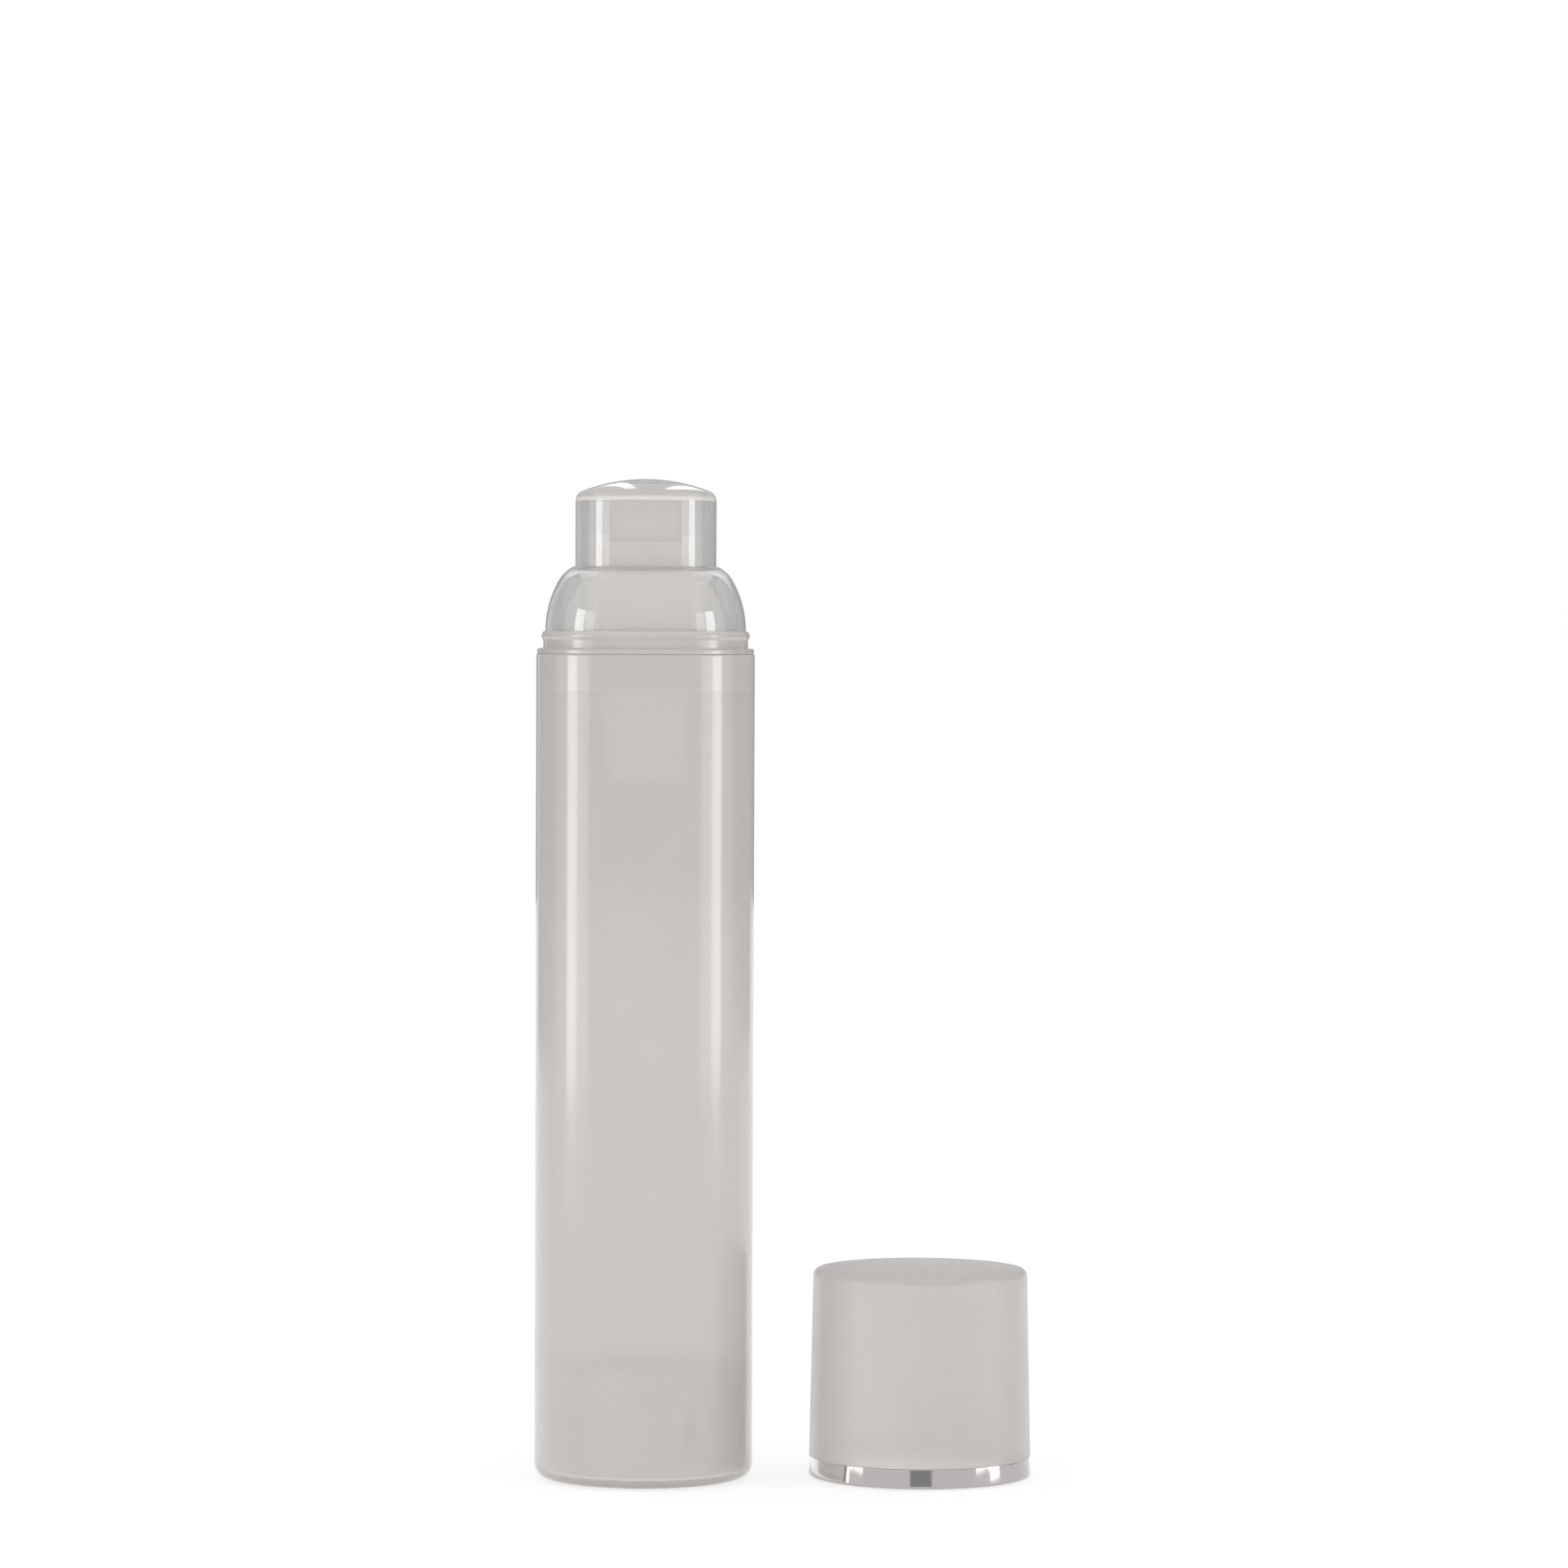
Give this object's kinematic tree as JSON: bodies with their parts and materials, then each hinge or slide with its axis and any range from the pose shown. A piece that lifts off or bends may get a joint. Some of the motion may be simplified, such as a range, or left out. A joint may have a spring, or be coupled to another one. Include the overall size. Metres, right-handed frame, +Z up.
{
  "type": "airless pump bottle",
  "caption": "Slim cylindrical airless dispenser bottle with a domed collar, a press-down pump head and a rising follower piston, its overcap taken off and standing beside it.",
  "frame": {"origin": "centre of the bottle's flat base, on the surface that it stands on", "axes": "+Z up along the bottle's axis, +Y the way the outlet faces, +X towards the overcap that stands beside the bottle"},
  "size_m": [0.0844, 0.04, 0.1691],
  "materials": {
    "bottle_plastic": "translucent natural plastic, semi-gloss",
    "clear_plastic": "clear moulded plastic, glossy",
    "frosted_plastic": "frosted satin plastic",
    "inner_plastic": "natural moulded plastic",
    "seal_plastic": "soft natural plastic",
    "gasket_rubber": "soft",
    "steel": "bright stainless",
    "bright_trim": "mirror bright"
  },
  "bodies": {
    "bottle": {"bottle_body": "bottle_plastic", "collar": "clear_plastic", "pump_housing": "inner_plastic", "housing_gasket": "gasket_rubber", "stem_guide": "inner_plastic", "inlet_cage": "inner_plastic", "return_spring": "steel"},
    "plunger": {"pump_piston": "seal_plastic"},
    "head": {"stem": "inner_plastic", "piston_retainer": "inner_plastic", "actuator": "clear_plastic", "nozzle_insert": "inner_plastic"},
    "outlet_valve": {"outlet_ball": "steel"},
    "inlet_valve": {"inlet_ball": "steel"},
    "follower": {"follower_piston": "seal_plastic"},
    "overcap": {"cap": "frosted_plastic", "cap_band": "bright_trim"}
  },
  "joints": [
    {"name": "press", "type": "slide", "parent": "bottle", "child": "plunger", "axis": [0, 0, -1], "range_m": [0, 0.006], "stiffness_N_per_m": 800, "springref_m": -0.0065, "deforming": ["return_spring"]},
    {"name": "head_turn", "type": "hinge", "parent": "plunger", "child": "head", "pos_m": [0, 0, 0.15], "axis": [0, 0, 1], "continuous": true},
    {"name": "outlet_valve_lift", "type": "slide", "parent": "head", "child": "outlet_valve", "axis": [0, 0, 1], "range_m": [0, 0.0008]},
    {"name": "inlet_valve_lift", "type": "slide", "parent": "bottle", "child": "inlet_valve", "axis": [0, 0, 1], "range_m": [0, 0.0009]},
    {"name": "follower_rise", "type": "slide", "parent": "bottle", "child": "follower", "axis": [0, 0, 1], "range_m": [0, 0.1144]},
    {"name": "cap_lift", "type": "slide", "parent": "bottle", "child": "overcap", "axis": [0, 0, 1], "range_m": [0, 0.18]}
  ]
}
